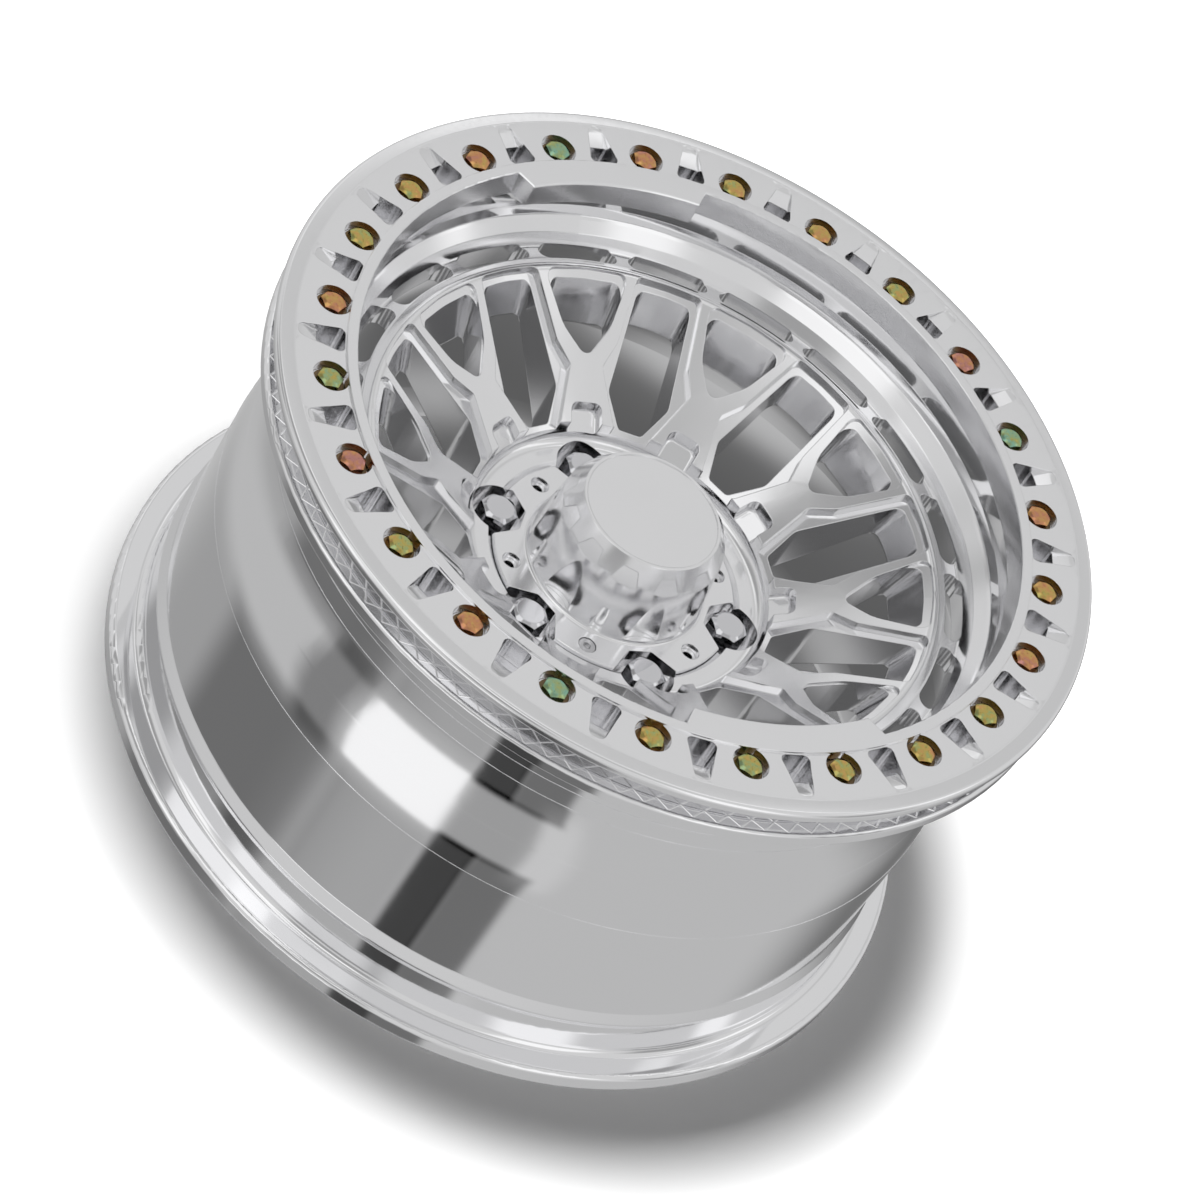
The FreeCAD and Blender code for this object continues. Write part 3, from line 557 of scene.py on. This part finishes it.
def studio_floor():
    """A wide white floor that keeps the wheel's shadow.

    Mirror rays pass through it beyond the wheel; under the wheel they see a painted glow and
    painted shade by radius that stand in for the light and shade of the floor there.
    """
    material = bpy.data.materials.new("floor_white")
    material.use_nodes = True
    tree = material.node_tree
    nodes, links = tree.nodes, tree.links
    shader = nodes["Principled BSDF"]
    set_inputs(shader, {
        "Base Color": (*FLOOR_COLOR, 1.0),
        "Roughness": FLOOR_ROUGHNESS,
        "Emission Color": (1.0, 1.0, 1.0, 1.0),
    })
    path = nodes.new("ShaderNodeLightPath")
    away = radius(tree, object_place(tree))
    spread = smooth_step(tree, away, FLOOR_WHITE_FROM_R, FLOOR_WHITE_R, FLOOR_LIFT, 1.0)
    lift = math_node(tree, "MULTIPLY", path.outputs["Is Camera Ray"], spread)
    links.new(lift, shader.inputs["Emission Strength"])
    # Painted glow and painted shade by radius under the wheel, seen only in mirrors
    shade = nodes.new("ShaderNodeFloatCurve")
    curve = shade.mapping.curves[0]
    for point, place_and_value in zip(curve.points, (FLOOR_UNDER_PAINTED_GLOW[0], FLOOR_UNDER_PAINTED_GLOW[-1])):
        point.location = place_and_value
    for place, value in FLOOR_UNDER_PAINTED_GLOW[1:-1]:
        curve.points.new(place, value)
    shade.mapping.update()
    links.new(away, shade.inputs["Value"])
    painted_glow_under = nodes.new("ShaderNodeEmission")
    links.new(shade.outputs["Value"], painted_glow_under.inputs["Strength"])
    clear = nodes.new("ShaderNodeBsdfTransparent")
    mirrored = nodes.new("ShaderNodeMixShader")
    links.new(math_node(tree, "GREATER_THAN", away, FLOOR_CLEAR_R), mirrored.inputs["Fac"])
    links.new(painted_glow_under.outputs["Emission"], mirrored.inputs[1])
    links.new(clear.outputs["BSDF"], mirrored.inputs[2])
    mix = nodes.new("ShaderNodeMixShader")
    links.new(path.outputs["Is Glossy Ray"], mix.inputs["Fac"])
    links.new(shader.outputs["BSDF"], mix.inputs[1])
    links.new(mirrored.outputs["Shader"], mix.inputs[2])
    links.new(mix.outputs["Shader"], nodes["Material Output"].inputs["Surface"])
    bpy.ops.mesh.primitive_plane_add(size=FLOOR_SIZE, location=(0, 0, 0))
    floor = bpy.context.object
    floor.name = "floor"
    dress(floor, material)


def panel_mask(tree, direction, limits):
    """One inside a panel's stretch of one direction and zero outside, with soft ends."""
    middle, half_width, soft = limits
    turn = math_node(tree, "SUBTRACT", direction, math.radians(middle))
    away = math_node(tree, "ABSOLUTE", math_node(tree, "WRAP", turn, math.pi, -math.pi))
    start, end = math.radians(half_width - soft), math.radians(half_width + soft)
    return smooth_step(tree, away, start, end, 1.0, 0.0)


def studio_light(tree):
    """Brightness of the room by direction: an even shell with soft panels."""
    parts = xyz(tree, tree.nodes.new("ShaderNodeTexCoord").outputs["Generated"])
    longitude = math_node(tree, "ARCTAN2", parts["Y"], parts["X"])
    elevation = math_node(tree, "ARCSINE", parts["Z"])
    light = smooth_step(tree, parts["Z"], *ROOM_BLEND, ROOM_LOW, ROOM_HIGH)
    for wide, high, gain in PANELS:
        along, across = panel_mask(tree, longitude, wide), panel_mask(tree, elevation, high)
        mask = math_node(tree, "MULTIPLY", along, across)
        light = math_node(tree, "ADD", light, math_node(tree, "MULTIPLY", mask, gain))
    return light


def background(tree, grey, strength=1.0):
    """A background shader without colour."""
    node = tree.nodes.new("ShaderNodeBackground")
    set_inputs(node, {"Color": (grey, grey, grey, 1.0), "Strength": strength})
    return node


def studio_world():
    """White to the camera, an even light on everything, and soft panels for the metal to mirror."""
    world = bpy.data.worlds.new("studio")
    bpy.context.scene.world = world
    world.use_nodes = True
    tree = world.node_tree
    tree.nodes.clear()
    path = tree.nodes.new("ShaderNodeLightPath")
    seen, lit = background(tree, 1.0), background(tree, 1.0, ROOM_FILL)
    mirrored = background(tree, ROOM_GREY)
    tree.links.new(studio_light(tree), mirrored.inputs["Strength"])
    shown = lit.outputs["Background"]
    for ray, node in (("Is Glossy Ray", mirrored), ("Is Camera Ray", seen)):
        mix = tree.nodes.new("ShaderNodeMixShader")
        tree.links.new(path.outputs[ray], mix.inputs["Fac"])
        tree.links.new(shown, mix.inputs[1])
        tree.links.new(node.outputs["Background"], mix.inputs[2])
        shown = mix.outputs["Shader"]
    output = tree.nodes.new("ShaderNodeOutputWorld")
    tree.links.new(shown, output.inputs["Surface"])


def key_light():
    """A large soft light that throws the shadow; the metal mirrors the room's panels instead."""
    data = bpy.data.lights.new("key_box", "AREA")
    data.shape = "SQUARE"
    data.size = KEY_SIZE
    data.energy = KEY_POWER
    light = bpy.data.objects.new("key_box", data)
    light.location = KEY_PLACE
    light.rotation_euler = (-Vector(KEY_PLACE)).to_track_quat("-Z", "Y").to_euler()
    light.visible_glossy = False
    bpy.context.scene.collection.objects.link(light)


def camera():
    """The photo's viewpoint."""
    data = bpy.data.cameras.new("camera")
    data.sensor_width = SENSOR_WIDTH_MM
    data.lens = LENS_MM
    data.clip_start, data.clip_end = CAMERA_CLIP
    obj = bpy.data.objects.new("camera", data)
    obj.location = CAMERA_PLACE
    obj.rotation_euler = [math.radians(angle) for angle in CAMERA_TURN_DEG]
    bpy.context.scene.collection.objects.link(obj)
    bpy.context.scene.camera = obj


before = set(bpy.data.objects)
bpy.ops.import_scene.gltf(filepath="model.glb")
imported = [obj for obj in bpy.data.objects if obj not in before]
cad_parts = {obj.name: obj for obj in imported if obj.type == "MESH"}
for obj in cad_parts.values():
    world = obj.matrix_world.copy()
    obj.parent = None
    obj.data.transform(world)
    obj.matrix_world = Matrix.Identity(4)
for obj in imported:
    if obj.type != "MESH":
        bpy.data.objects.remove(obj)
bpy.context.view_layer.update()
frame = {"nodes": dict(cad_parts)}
bolts_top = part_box("ring_bolt_01")[1].z
ring_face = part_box("bead_ring")[1].z - TABS_ABOVE_FACE
forged_metal = forged_finish()
turned_metal = metal("turned_aluminium", FORGED_COLOR, SATIN_ROUGHNESS, BRUSHED, edge=0.0)

dress_frame(frame, forged_metal)
knurl(bolts_top - FLANGE_FACE_BELOW_BOLTS, forged_metal)
barrel_lines(forged_metal)
milled_ring(frame, ring_face, forged_metal)
ring_edge(ring_face, turned_metal)

studio_floor()
studio_world()
key_light()
camera()
bpy.context.scene.view_settings.view_transform = "Standard"
